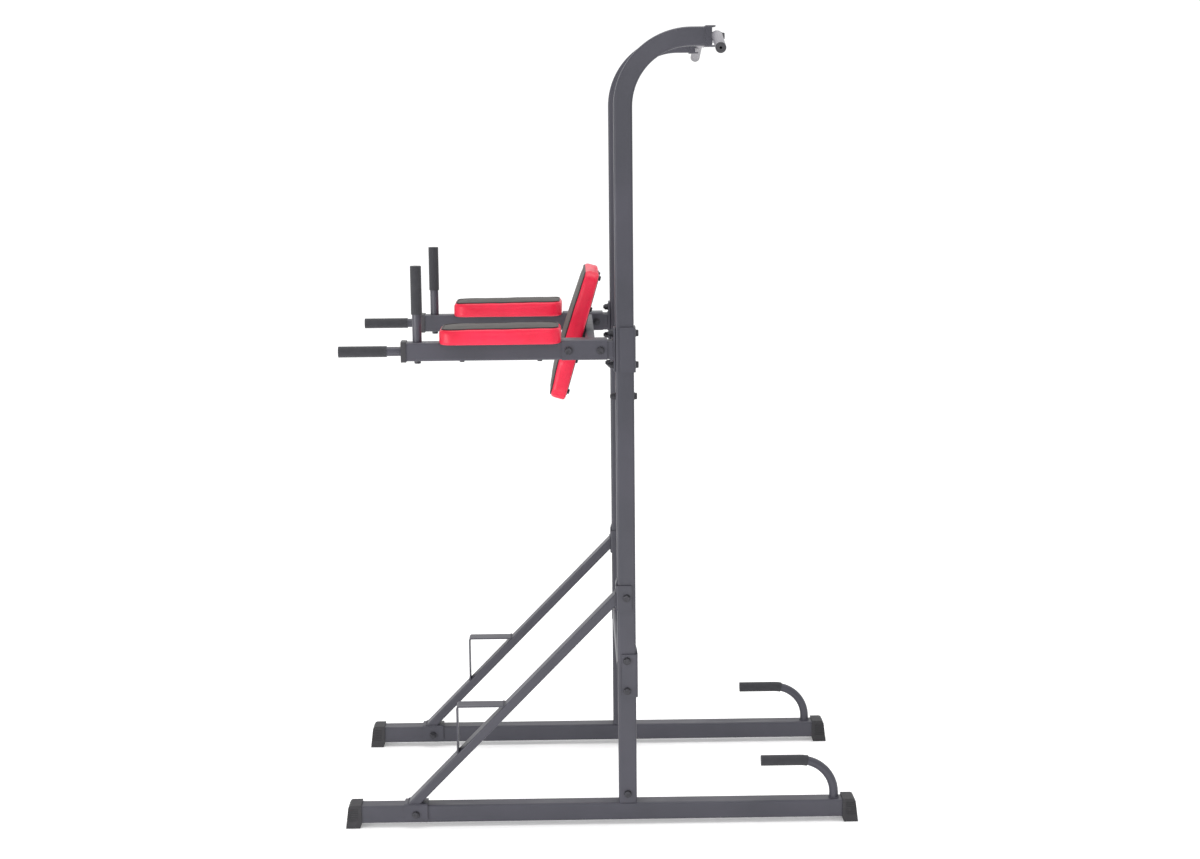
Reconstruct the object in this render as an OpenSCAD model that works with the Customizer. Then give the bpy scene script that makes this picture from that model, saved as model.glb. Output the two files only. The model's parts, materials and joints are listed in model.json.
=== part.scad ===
// Power tower: a free-standing steel frame with a pull-up bar, padded dip arms with a
// tilted backrest for knee raises, push-up handles and foot steps.
// Millimetres. +Z is up, the floor is z = 0, the user stands on the -Y side and faces -Y.
// "left" is +X, the left hand of that user. The origin is under the middle of the frame.

/* [Frame] */
// Distance between the middles of the two side frames
gauge = 716; // [640:4:800]
// Length of each base rail tube
rail_l = 1386; // [1340:2:1500]
// Height of the rail tubes above the floor
rail_lift = 13; // [10:1:25]
// Middle of the posts, measured back from the middle of the rails
post_y = 72; // [40:2:120]
// Height of the top of the curved posts
top_z = 2189; // [2050:5:2300]
// Middle radius of the bend at the top of each post
arch_r = 182; // [150:2:230]
// Straight run of the curved posts behind the bend
arch_run = 38; // [10:2:90]

/* [Steel tube] */
// Outer width of the square tubes
tube = 50; // [48:1:52]
// Wall of every steel tube
wall = 2; // [1.5:0.25:3]
// Outer corner radius of the square tubes
tube_r = 6; // [5:0.5:8]
// Thin side of the flat tubes of the braces and the backrest crossbar
flat_d = 25; // [20:1:28]
// Outer diameter of the handle tubes
handle_d = 25; // [22:0.5:28]
// Outer diameter of the pull-up bar
bar_d = 28; // [25:0.5:32]

/* [Dip arms] */
// Height of the middle of the dip arms, where the posts are joined
arm_z = 1336; // [1240:4:1420]
// Where the arm tubes end, in front of the middle of the rails
arm_front = 520; // [490:5:560]
// How far the forward handles reach in front of the arm tubes
handle_reach = 180; // [160:5:220]
// Height of the upright handles above the arms
upright_h = 205; // [180:5:240]
// Set-back of the upright handles from the front end of the arms
upright_back = 33; // [28:1:45]
// Length of the soft grips
grip_l = 130; // [110:5:140]
// Wall of the soft grips
grip_t = 2.5; // [2:0.25:5]

/* [Pads] */
// Width of an arm pad
pad_w = 160; // [130:5:180]
// Length of an arm pad
pad_l = 328; // [280:4:332]
// Thickness of an arm pad
pad_t = 47; // [35:1:55]
// Width of the backrest
back_w = 330; // [280:5:400]
// Height of the backrest, measured along its slope
back_h = 374; // [340:2:420]
// Thickness of the backrest with its board
back_t = 54; // [38:1:60]
// Backward lean of the backrest in degrees
back_tilt = 16; // [12:1:20]
// Corner radius of every pad, seen from its face
pad_r = 34; // [20:1:45]

/* [Lower frame] */
// Height of the middle of the lower crossbar
crossbar_z = 430; // [330:5:520]
// Height at which the middle line of the brace meets the post
brace_z = 651; // [600:5:720]
// Where the middle line of the brace meets the rail, in front of the middle
brace_y = 529; // [480:5:560]
// Height of the foot steps
step_z = 348; // [330:2:380]
// Width of the foot steps
step_w = 50; // [35:1:50]
// Height of the push-up handles above the rails
push_h = 109; // [100:1:130]
// Straight rise of a push-up handle below its bend
push_rise = 14; // [5:1:40]
// Set-back of the push-up handles from the rear end of the rails
push_in = 43; // [38:1:60]

/* [Pull-up bar] */
// Half of the full width of the pull-up bar
bar_half = 530; // [480:5:600]
// Downward bend of the ends of the bar in degrees
bar_bend = 15; // [5:1:25]

/* [Hidden] */
$fn = 64;
eps = 0.01;
big = 3000;

// Fits and clearances
fit = 0.3;
hole_gap = 0.5;
grip_gap = 0.2;
over = 1;

// Fasteners: through bolts, pad screws, washers and nuts
bolt_d = 10;
bolt_af = 17;
bolt_head = 6.4;
screw_d = 8;
screw_af = 13;
screw_head = 5.3;
screw_stop = 4;
blind_stop = 2;
bevel_in = 1;
bevel_out = 2.4;
bevel_h = 2;
washer_d = 21;
washer_t = 2;
nut_h = 8;
nut_collar = 2;
nut_collar_d = 14.5;
bolt_tail = 3;
nut_fit = 0.2;

// Heights and places of the frame
rail_z = rail_lift + tube / 2;
rail_top = rail_lift + tube;
side_x = gauge / 2;
post_front = post_y - tube / 2;
post_back = post_y + tube / 2;
arch_out = arch_r + tube / 2;
arch_z = top_z - arch_out;
arch_end = post_y + arch_r + arch_run;

// Sleeves inside the tubes
sleeve = tube - 2 * wall - 2 * fit;
sleeve_r = tube_r - wall - fit;
spigot_h = 60;
foot_bolt_up = 26;
foot_bolt_z = rail_top + foot_bolt_up;
joint_up = 86;
joint_down = 154;
low_bolt_drop = 129;
low_joint_bolt = arm_z - low_bolt_drop;

// U-shaped saddles bent from plate
saddle_t = 4.5;
saddle_bend = 3;
saddle_l = tube + 72;
saddle_pitch = tube + 36;
saddle_grip = tube / 2 + fit + saddle_t;
saddle_reach = 44;
guard_h = 13;
guard_top = 1.5;
guard_w = tube - 2 * tube_r;
brace_foot_l = 65;
brace_head_l = 69;
brace_foot_back = 9;
brace_foot_bolt_y = brace_y - brace_foot_back;

// Rubber feet on the rail ends
foot_wall = 4;
foot_overlap = 21;
foot_toe = 23;
foot_slope = 8;
foot_round = 9;
foot_bevel = 4;
rib_up = 9;
rib_start = 9;
rib_count = 7;
rib_pitch = 5.4;
rib_w = 1.8;
rib_depth = 1.2;

// Dip arms
flange_t = 5;
flange_h = saddle_l - 2;
flange_r = 4;
plate_t = 4;
cap_t = 14;
cap_wall = 3;
upright_y = -(arm_front - upright_back);
insert_h = 24;
tip_t = 3;
push_grip_bend = 12.5;
grip_d = handle_d + 2 * grip_t;
push_r = push_h - push_rise;
push_y = rail_l / 2 - push_in;

// Pads and their boards
board_t = 12;
board_in = 8;
pad_pitch = 210;
pad_gap = 1;
back_saddle_y = -36;
pad_y = pad_l / 2 + saddle_l / 2 + pad_gap - back_saddle_y;
pad_screw_y = [-pad_y - pad_pitch / 2, -pad_y + pad_pitch / 2];

// Backrest: the crossbar, its saddles and the sloping straps behind the board
back_bar_front = -32;
back_board_up = 7;
back_board_z = arm_z + back_board_up;
strap_t = 4;
strap_w = 30;
strap_r = 4;
strap_x = 70;
strap_end = 10;
wedge_in = 4;
wedge_half = tube / 2 - wedge_in;
wedge_thin = 1.2;
back_screw_in = 76;
back_screw_out = back_h / 2 - 19.5;
back_screws = [-back_screw_out, -back_screw_in, back_screw_in, back_screw_out];
back_board_y = back_bar_front - wedge_thin
    - (strap_t + (wedge_half - back_board_up) * sin(back_tilt)) / cos(back_tilt);

// Lower frame
brace_rise = brace_z - rail_top;
brace_run = brace_y + post_front;
brace_a = atan2(brace_rise, brace_run);
flat_r = 4;
step_t = 4;
step_run = 135;
step_y = step_run + brace_y + flat_d / 2 / sin(brace_a) - (step_z - rail_top) / tan(brace_a);
crossbar_half = side_x - saddle_grip;

// Pull-up bar
cradle_t = 16;
cradle_leg = 4;
cradle_lip = 9;
cradle_w = tube + 6;
bar_sink = 2;
bar_z = top_z - tube / 2;
bar_y = arch_end + cradle_t - bar_sink + bar_d / 2;
bar_bend_r = 60;
bar_past = 34;
bar_straight = side_x + bar_past;
bar_cap_t = 5;
bar_cap_plug = 18;
bar_cap_hole = 7;
bar_lap = 0.5;

// ---------- helpers ----------

module left() {
    translate([side_x, 0, 0])
        children();
}

module right() {
    mirror([1, 0, 0])
        left()
            children();
}

module both() {
    left()
        children();
    right()
        children();
}

module rounded(w, h, r) {
    square([w - 2 * r, h], center = true);
    square([w, h - 2 * r], center = true);
    for (x = [-1, 1], y = [-1, 1])
        translate([x * (w / 2 - r), y * (h / 2 - r)])
            circle(r = r);
}

module hollow(w, h, r, t) {
    difference() {
        rounded(w, h, r);
        rounded(w - 2 * t, h - 2 * t, max(r - t, 1));
    }
}

module ring(d, t) {
    difference() {
        circle(d = d);
        circle(d = d - 2 * t);
    }
}

// Bar along Y between two places, with the children as its section
module along_y(from, to) {
    translate([0, to, 0])
        rotate([90, 0, 0])
            linear_extrude(to - from)
                children();
}

// A quarter or less of a bend in the YZ plane, from angle a0, for angle a
module bend_yz(r, a0, a) {
    rotate([90, 0, 90])
        rotate([0, 0, a0])
            rotate_extrude(angle = a)
                translate([r, 0])
                    children();
}

// Holes through a side tube: crosswise, front to back, and up and down
module cross_hole(y, z, d = bolt_d) {
    translate([0, y, z])
        rotate([0, 90, 0])
            cylinder(d = d + hole_gap, h = 2 * tube, center = true);
}

module fore_hole(y, z, d = bolt_d) {
    translate([0, y, z])
        rotate([90, 0, 0])
            cylinder(d = d + hole_gap, h = 2 * tube, center = true);
}

module drop_hole(y, z, d = bolt_d) {
    translate([0, y, z])
        cylinder(d = d + hole_gap, h = 2 * tube, center = true);
}

// U-shaped saddle round a tube: length along Z, open to -Y, the tube's middle at the origin
module saddle(l, reach, web = [], flange = []) {
    outer = 2 * saddle_grip;
    inner = outer - 2 * saddle_t;
    difference() {
        linear_extrude(l, center = true)
            difference() {
                rounded(outer, outer, saddle_t + saddle_bend);
                rounded(inner, inner, saddle_bend);
                translate([-outer, -outer - reach + saddle_grip])
                    square([2 * outer, outer]);
            }
        for (z = web)
            translate([0, saddle_grip, z])
                rotate([90, 0, 0])
                    cylinder(d = bolt_d + hole_gap, h = tube, center = true);
        for (z = flange)
            translate([0, 0, z])
                rotate([0, 90, 0])
                    cylinder(d = bolt_d + hole_gap, h = 2 * tube, center = true);
    }
}

// Tapered rubber guard on the upper edge of a saddle's web, against the post
module web_guard(l) {
    back = tube / 2 + fit;
    translate([-guard_w / 2, 0, l / 2])
        rotate([90, 0, 90])
            linear_extrude(guard_w)
                polygon([
                    [back, 0],
                    [saddle_grip, 0],
                    [back + guard_top, guard_h],
                    [back, guard_h]
                ]);
}

// ---------- base ----------

module base_rail() {
    difference() {
        translate([0, 0, rail_z])
            along_y(-rail_l / 2, rail_l / 2)
                hollow(tube, tube, tube_r, wall);
        cross_hole(-brace_foot_bolt_y, rail_z);
    }
}

// Side view of a foot: x runs outwards from the inner edge, y is height
module foot_outline() {
    long = foot_overlap + foot_toe;
    high = rail_top + foot_wall;
    knee = long - foot_slope;
    difference() {
        polygon([
            [foot_bevel, 0],
            [long, 0],
            [knee, high],
            [0, high],
            [0, rail_lift]
        ]);
        translate([knee - foot_round, high - foot_round])
            difference() {
                square(2 * foot_round);
                circle(r = foot_round);
            }
    }
}

module rail_foot(end) {
    width = tube + 2 * foot_wall;
    long = foot_overlap + foot_toe;
    high = rail_top + foot_wall;
    first = rail_lift + rib_up;
    mirror([0, end < 0 ? 1 : 0, 0])
        translate([0, rail_l / 2 - foot_overlap, 0])
            difference() {
                translate([-width / 2, 0, 0])
                    rotate([90, 0, 90])
                        linear_extrude(width)
                            foot_outline();
                translate([0, 0, rail_z])
                    along_y(-eps, foot_overlap + fit)
                        rounded(tube + 2 * fit, tube + 2 * fit, tube_r);
                for (i = [0:rib_count - 1])
                    translate([0, 0, first + i * rib_pitch])
                        rib_groove(width, long - foot_slope * (first + i * rib_pitch) / high);
            }
}

// Shallow groove round the sides and the outer end of a foot
module rib_groove(width, reach) {
    linear_extrude(rib_w)
        difference() {
            translate([-width, rib_start])
                square([2 * width, reach]);
            translate([rib_depth - width / 2, 0])
                square([width - 2 * rib_depth, reach - rib_depth]);
        }
}

module push_up_handle() {
    bend_z = rail_top + push_h - push_r;
    tip_y = grip_tip_y() + tip_t;
    translate([0, push_y, rail_top])
        linear_extrude(push_h - push_r)
            ring(handle_d, wall);
    translate([0, push_y - push_r, bend_z])
        bend_yz(push_r, 0, 90)
            ring(handle_d, wall);
    translate([0, 0, rail_top + push_h])
        along_y(tip_y, push_y - push_r)
            ring(handle_d, wall);
}

function grip_tip_y() = push_y - push_r - grip_l + push_r * sin(push_grip_bend);

// The run that a push-up grip covers, as a solid rod: straight, then a little of the bend
module push_grip_rod(d, from) {
    translate([0, 0, rail_top + push_h])
        along_y(from, push_y - push_r)
            circle(d = d);
    translate([0, push_y - push_r, rail_top + push_h - push_r])
        difference() {
            bend_yz(push_r, 0, 90)
                circle(d = d);
            rotate([-push_grip_bend, 0, 0])
                translate([-d, 0, 0])
                    cube([2 * d, 2 * push_r, 2 * push_r]);
        }
}

module push_up_grip() {
    difference() {
        push_grip_rod(grip_d, grip_tip_y());
        push_grip_rod(handle_d + grip_gap, grip_tip_y() + tip_t);
    }
}

// ---------- posts ----------

module post_spigot() {
    difference() {
        translate([0, post_y, rail_top])
            linear_extrude(spigot_h)
                hollow(sleeve, sleeve, sleeve_r, wall);
        cross_hole(post_y, foot_bolt_z);
    }
}

module lower_post() {
    difference() {
        translate([0, post_y, rail_top])
            linear_extrude(arm_z - rail_top)
                hollow(tube, tube, tube_r, wall);
        cross_hole(post_y, foot_bolt_z);
        cross_hole(post_y, brace_z);
        for (s = [-1, 1])
            cross_hole(post_y, crossbar_z + s * saddle_pitch / 2);
        fore_hole(post_y, low_joint_bolt);
        fore_hole(post_y, arm_z - saddle_pitch / 2);
    }
}

module upper_post() {
    difference() {
        union() {
            translate([0, post_y, arm_z])
                linear_extrude(arch_z - arm_z)
                    hollow(tube, tube, tube_r, wall);
            translate([0, post_y + arch_r, arch_z])
                bend_yz(arch_r, 90, 90)
                    hollow(tube, tube, tube_r, wall);
            translate([0, 0, bar_z])
                along_y(post_y + arch_r, arch_end)
                    hollow(tube, tube, tube_r, wall);
        }
        fore_hole(post_y, arm_z + saddle_pitch / 2);
    }
}

module joint_sleeve() {
    difference() {
        translate([0, post_y, arm_z - joint_down])
            linear_extrude(joint_up + joint_down)
                hollow(sleeve, sleeve, sleeve_r, wall);
        fore_hole(post_y, low_joint_bolt);
        for (s = [-1, 1])
            fore_hole(post_y, arm_z + s * saddle_pitch / 2);
    }
}

module joint_saddle() {
    translate([0, post_y, arm_z])
        saddle(saddle_l, saddle_reach, web = [-saddle_pitch / 2, saddle_pitch / 2]);
}

// ---------- braces, steps and lower crossbar ----------

// Children are placed on the middle line of the brace, with +Z along it
module on_brace() {
    translate([0, -brace_y, rail_top])
        rotate([brace_a - 90, 0, 0])
            children();
}

module brace() {
    difference() {
        on_brace()
            translate([0, 0, -tube])
                linear_extrude(big / 2)
                    hollow(tube, flat_d, flat_r, wall);
        translate([-tube, -big / 2, rail_top + fit + saddle_t - big])
            cube([2 * tube, big, big]);
        translate([-tube, post_y - saddle_grip, -big / 2])
            cube([2 * tube, big, big]);
    }
}

module brace_foot_saddle() {
    translate([0, -brace_foot_bolt_y, rail_z])
        rotate([90, 0, 0])
            saddle(brace_foot_l, saddle_reach, flange = [0]);
}

module brace_head_saddle() {
    translate([0, post_y, brace_z])
        rotate([0, 0, 180])
            saddle(brace_head_l, saddle_reach, flange = [0]);
}

// Side view of everything behind x and below top, with its upper front corner rounded
module corner_block(x, top, r) {
    run = step_y + post_front;
    drop = step_z - rail_top;
    translate([x + r, top - drop])
        square([run, drop]);
    translate([x, top - drop])
        square([run, drop - r]);
    translate([x + r, top - r])
        circle(r = r);
}

module foot_step() {
    translate([-step_w / 2, 0, 0])
        rotate([90, 0, 90])
            linear_extrude(step_w)
                difference() {
                    corner_block(-step_y, step_z, 2 * step_t);
                    corner_block(step_t - step_y, step_z - step_t, step_t);
                    translate([-brace_y, rail_top])
                        rotate([0, 0, brace_a])
                            translate([-big / 2, flat_d / 2 - big])
                                square([big, big]);
                }
}

module saddle_guards() {
    translate([0, post_y, brace_z])
        rotate([0, 0, 180])
            web_guard(brace_head_l);
    translate([0, post_y, crossbar_z])
        web_guard(saddle_l);
}

module lower_crossbar() {
    translate([0, post_y, crossbar_z])
        rotate([90, 0, 90])
            linear_extrude(2 * crossbar_half, center = true)
                hollow(tube, tube, tube_r, wall);
}

module crossbar_saddle() {
    translate([0, post_y, crossbar_z])
        saddle(saddle_l, saddle_reach, flange = [-saddle_pitch / 2, saddle_pitch / 2]);
}

// ---------- dip arms ----------

module dip_arm() {
    difference() {
        translate([0, 0, arm_z])
            along_y(-arm_front, post_front - flange_t)
                hollow(tube, tube, tube_r, wall);
        for (s = [-1, 1])
            cross_hole(back_saddle_y + s * saddle_pitch / 2, arm_z);
        drop_hole(upright_y, arm_z);
        for (y = pad_screw_y)
            drop_hole(y, arm_z, screw_d);
    }
}

module arm_flange() {
    difference() {
        translate([0, 0, arm_z])
            along_y(post_front - flange_t, post_front)
                rounded(tube, flange_h, flange_r);
        for (s = [-1, 1])
            fore_hole(post_front, arm_z + s * saddle_pitch / 2);
    }
}

module arm_end_plate() {
    translate([0, 0, arm_z])
        along_y(-arm_front - plate_t, -arm_front)
            rounded(tube, tube, tube_r);
}

module arm_end_cap() {
    front = -arm_front - plate_t - fit - cap_wall;
    outer = tube + 2 * cap_wall;
    translate([0, 0, arm_z])
        difference() {
            along_y(front - cap_wall, front - cap_wall + cap_t)
                rounded(outer, outer, tube_r);
            along_y(front, front + 2 * cap_t)
                rounded(tube + 2 * fit, tube + 2 * fit, tube_r);
            along_y(front - 2 * cap_t, front + 2 * cap_t)
                circle(d = handle_d + 2 * fit);
        }
}

module forward_handle() {
    translate([0, 0, arm_z])
        along_y(-arm_front - handle_reach + tip_t, -arm_front - plate_t)
            ring(handle_d, wall);
}

module forward_grip() {
    tip = -arm_front - handle_reach;
    translate([0, 0, arm_z])
        difference() {
            along_y(tip, tip + grip_l)
                circle(d = grip_d);
            along_y(tip + tip_t, tip + grip_l + eps)
                circle(d = handle_d + grip_gap);
        }
}

module upright_handle() {
    translate([0, upright_y, arm_z + tube / 2])
        difference() {
            cylinder(d = handle_d, h = upright_h - tip_t);
            translate([0, 0, insert_h])
                cylinder(d = handle_d - 2 * wall, h = upright_h);
            translate([0, 0, -eps])
                cylinder(d = bolt_d + nut_fit, h = insert_h + over);
        }
}

module upright_grip() {
    translate([0, upright_y, arm_z + tube / 2 + upright_h - grip_l])
        difference() {
            cylinder(d = grip_d, h = grip_l);
            translate([0, 0, -eps])
                cylinder(d = handle_d + grip_gap, h = grip_l - tip_t + eps);
        }
}

// ---------- pads ----------

module pad_board() {
    translate([0, -pad_y, arm_z + tube / 2])
        difference() {
            linear_extrude(board_t)
                rounded(pad_w - 2 * board_in, pad_l - 2 * board_in, pad_r - board_in);
            for (s = [-1, 1])
                translate([0, s * pad_pitch / 2, -eps])
                    cylinder(d = screw_d + nut_fit, h = board_t - blind_stop);
        }
}

module arm_pad() {
    pocket = board_in - fit;
    translate([0, -pad_y, arm_z + tube / 2])
        difference() {
            translate([0, 0, fit])
                linear_extrude(pad_t - fit)
                    rounded(pad_w, pad_l, pad_r);
            translate([0, 0, -fit])
                linear_extrude(board_t + 2 * fit)
                    rounded(pad_w - 2 * pocket, pad_l - 2 * pocket, pad_r - pocket);
        }
}

// Children are placed on the back face of the backrest: +Z up its slope, -Y to the user
module on_backrest() {
    translate([0, back_board_y, back_board_z])
        rotate([-back_tilt, 0, 0])
            children();
}

module backrest_board() {
    on_backrest()
        difference() {
            along_y(-board_t, 0)
                rounded(back_w - 2 * board_in, back_h - 2 * board_in, pad_r - board_in);
            for (x = [-strap_x, strap_x], z = back_screws)
                translate([x, eps, z])
                    rotate([90, 0, 0])
                        cylinder(d = screw_d + nut_fit, h = board_t - blind_stop);
        }
}

module backrest_pad() {
    pocket = board_in - fit;
    on_backrest()
        difference() {
            along_y(-back_t, -fit)
                rounded(back_w, back_h, pad_r);
            along_y(-board_t - fit, over)
                rounded(back_w - 2 * pocket, back_h - 2 * pocket, pad_r - pocket);
        }
}

module backrest_crossbar() {
    translate([0, back_bar_front + flat_d / 2, arm_z])
        rotate([90, 0, 90])
            linear_extrude(2 * crossbar_half, center = true)
                hollow(flat_d, tube, flat_r, wall);
}

module backrest_saddle() {
    translate([0, back_saddle_y, arm_z])
        rotate([90, 0, 0])
            saddle(saddle_l, 2 * saddle_grip - saddle_t, flange = [-saddle_pitch / 2, saddle_pitch / 2]);
}

// Back face of the straps at height z
function strap_back(z) = back_board_y
    + (strap_t + (z - back_board_z) * sin(back_tilt)) / cos(back_tilt);

module backrest_strap(x) {
    low = arm_z - wedge_half;
    high = arm_z + wedge_half;
    difference() {
        union() {
            on_backrest()
                translate([x, 0, 0])
                    along_y(0, strap_t)
                        rounded(strap_w, back_h - 2 * strap_end, strap_r);
            translate([x - strap_w / 2, 0, 0])
                rotate([90, 0, 90])
                    linear_extrude(strap_w)
                        polygon([
                            [strap_back(low) - over, low],
                            [back_bar_front, low],
                            [back_bar_front, high],
                            [strap_back(high) - over, high]
                        ]);
        }
        on_backrest()
            for (z = back_screws)
                translate([x, 0, z])
                    rotate([90, 0, 0])
                        cylinder(d = screw_d + hole_gap, h = tube, center = true);
    }
}

// ---------- pull-up bar ----------

function bar_slope_l(end) = (bar_half - end - bar_straight - bar_bend_r * sin(bar_bend))
    / cos(bar_bend);

module bar_end_at(end) {
    translate([
        bar_straight + bar_bend_r * sin(bar_bend),
        bar_y,
        bar_z - bar_bend_r * (1 - cos(bar_bend))
    ])
        rotate([0, 90 + bar_bend, 0])
            translate([0, 0, end])
                children();
}

// One half of the bar's run as a solid rod, from its middle to its tip. The sloping end starts
// a little way inside the bend and is a hair thinner, so that it leaves through a clean ring
module bar_rod(d, from) {
    slope = bar_slope_l(bar_cap_t * cos(bar_bend));
    translate([from, bar_y, bar_z])
        rotate([0, 90, 0])
            cylinder(d = d, h = bar_straight - from);
    translate([bar_straight, bar_y, bar_z - bar_bend_r])
        difference() {
            rotate([90, 0, 0])
                rotate_extrude(angle = 90)
                    translate([bar_bend_r, 0])
                        circle(d = d);
            rotate([0, bar_bend, 0])
                translate([0, -d, -bar_bend_r])
                    cube([4 * bar_bend_r, 2 * d, 4 * bar_bend_r]);
        }
    bar_end_at(-bar_lap)
        cylinder(d = d - 2 * eps, h = slope + bar_lap);
}

module pull_up_bar() {
    for (m = [0, 1])
        mirror([m, 0, 0])
            difference() {
                bar_rod(bar_d, 0);
                bar_rod(bar_d - 2 * wall, -over);
                translate([side_x, bar_y, bar_z])
                    rotate([90, 0, 0])
                        cylinder(d = bolt_d + hole_gap, h = 2 * bar_d, center = true);
            }
}

module bar_end_cap() {
    slope = bar_slope_l(bar_cap_t * cos(bar_bend));
    bar_end_at(slope)
        difference() {
            union() {
                cylinder(d = bar_d, h = bar_cap_t);
                translate([0, 0, -bar_cap_plug])
                    cylinder(d = bar_d - 2 * wall - fit, h = bar_cap_plug + over);
            }
            translate([0, 0, -bar_cap_plug - over])
                cylinder(d = bar_cap_hole, h = bar_cap_plug + bar_cap_t + 2 * over);
        }
}

module bar_cradle() {
    depth = cradle_t + cradle_lip;
    difference() {
        translate([0, 0, bar_z])
            along_y(arch_end, arch_end + depth)
                rounded(cradle_w, cradle_w, tube_r);
        translate([-tube, arch_end + cradle_t, bar_z - cradle_w / 2 + cradle_leg])
            cube([2 * tube, depth, cradle_w - 2 * cradle_leg]);
        translate([0, bar_y, bar_z])
            rotate([0, 90, 0])
                cylinder(d = bar_d + fit, h = 2 * tube, center = true);
        fore_hole(arch_end, bar_z);
    }
}

// ---------- fasteners ----------

// Bolt along +Z: the underside of the head is at z = 0
module bolt(l, d = bolt_d, af = bolt_af, head = bolt_head) {
    cylinder(d = d, h = l);
    translate([0, 0, -head])
        intersection() {
            cylinder(d = af / cos(30), h = head, $fn = 6);
            translate([0, 0, head - 2 * af])
                rotate_extrude()
                    polygon([
                        [0, 0],
                        [af / 2 - bevel_in, 2 * af - head],
                        [af / 2 + bevel_out, 2 * af - head + bevel_h],
                        [af / 2 + bevel_out, 2 * af],
                        [0, 2 * af]
                    ]);
        }
}

module nut() {
    difference() {
        union() {
            cylinder(d = bolt_af / cos(30), h = nut_h, $fn = 6);
            cylinder(d = nut_collar_d, h = nut_h + nut_collar);
        }
        translate([0, 0, -over])
            cylinder(d = bolt_d + nut_fit, h = nut_h + nut_collar + 2 * over);
    }
}

module washer() {
    linear_extrude(washer_t)
        ring(washer_d, (washer_d - bolt_d - hole_gap) / 2);
}

// Clamped bolts, each [y, z, half the clamped width], with their heads on the outer side
post_foot_joint = [[post_y, foot_bolt_z, tube / 2]];
brace_joint = [
    [post_y, brace_z, saddle_grip],
    [-brace_foot_bolt_y, rail_z, saddle_grip]
];
crossbar_joint = [for (s = [-1, 1]) [post_y, crossbar_z + s * saddle_pitch / 2, saddle_grip]];
backrest_joint = [for (s = [-1, 1]) [back_saddle_y + s * saddle_pitch / 2, arm_z, saddle_grip]];
cross_joints = concat(post_foot_joint, brace_joint, crossbar_joint, backrest_joint);

// Front-to-back bolts, each [z, y of the front face, y of the back face]
fore_joints = [
    [low_joint_bolt, post_front, post_back],
    [arm_z - saddle_pitch / 2, post_front - flange_t, post_y + saddle_grip],
    [arm_z + saddle_pitch / 2, post_front - flange_t, post_y + saddle_grip]
];

module cross_bolts(list) {
    both()
        for (j = list)
            translate([j[2] + washer_t, j[0], j[1]])
                rotate([0, -90, 0])
                    bolt(2 * j[2] + 2 * washer_t + nut_h + nut_collar + bolt_tail);
}

module joint_bolts() {
    both()
        for (j = fore_joints)
            translate([0, j[2] + washer_t, j[0]])
                rotate([90, 0, 0])
                    bolt(j[2] - j[1] + 2 * washer_t + nut_h + nut_collar + bolt_tail);
}

// The back of the bar at each cradle, where a bolt head bears on a washer
bar_back = bar_y + bar_d / 2;

module pull_up_bar_bolts() {
    both()
        translate([0, bar_back + washer_t, bar_z])
            rotate([90, 0, 0])
                bolt(bar_back - arch_end + 2 * washer_t + nut_h + nut_collar + bolt_tail);
}

module upright_handle_bolts() {
    both()
        translate([0, upright_y, arm_z - tube / 2 - washer_t])
            bolt(tube + washer_t + insert_h - blind_stop);
}

module arm_pad_screws() {
    both()
        for (y = pad_screw_y)
            translate([0, y, arm_z - tube / 2])
                bolt(tube + board_t - screw_stop, screw_d, screw_af, screw_head);
}

module backrest_screws() {
    on_backrest()
        for (x = [-strap_x, strap_x], z = back_screws)
            translate([x, strap_t, z])
                rotate([90, 0, 0])
                    bolt(strap_t + board_t - screw_stop, screw_d, screw_af, screw_head);
}

module lock_nuts() {
    both() {
        for (j = cross_joints)
            translate([-j[2] - washer_t, j[0], j[1]])
                rotate([0, -90, 0])
                    nut();
        for (j = fore_joints)
            translate([0, j[1] - washer_t, j[0]])
                rotate([90, 0, 0])
                    nut();
        translate([0, arch_end - washer_t, bar_z])
            rotate([90, 0, 0])
                nut();
    }
}

module washers() {
    both() {
        for (j = cross_joints, s = [-1, 1])
            translate([s * j[2], j[0], j[1]])
                rotate([0, s * 90, 0])
                    washer();
        for (j = fore_joints) {
            translate([0, j[1], j[0]])
                rotate([90, 0, 0])
                    washer();
            translate([0, j[2], j[0]])
                rotate([-90, 0, 0])
                    washer();
        }
        translate([0, arch_end, bar_z])
            rotate([90, 0, 0])
                washer();
        translate([0, bar_back, bar_z])
            rotate([-90, 0, 0])
                washer();
        translate([0, upright_y, arm_z - tube / 2])
            rotate([180, 0, 0])
                washer();
    }
}

// ---------- colours and nodes ----------

module frame_paint() {
    color([0.34, 0.33, 0.36])
        children();
}

module black_rubber() {
    color([0.16, 0.16, 0.17])
        children();
}

module dark_grip() {
    color([0.24, 0.24, 0.25])
        children();
}

module red_vinyl() {
    color([0.88, 0.14, 0.24])
        children();
}

module black_zinc() {
    color([0.13, 0.13, 0.14])
        children();
}

module grey_bar() {
    color([0.60, 0.59, 0.62])
        children();
}

module board_black() {
    color([0.10, 0.10, 0.10])
        children();
}

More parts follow.
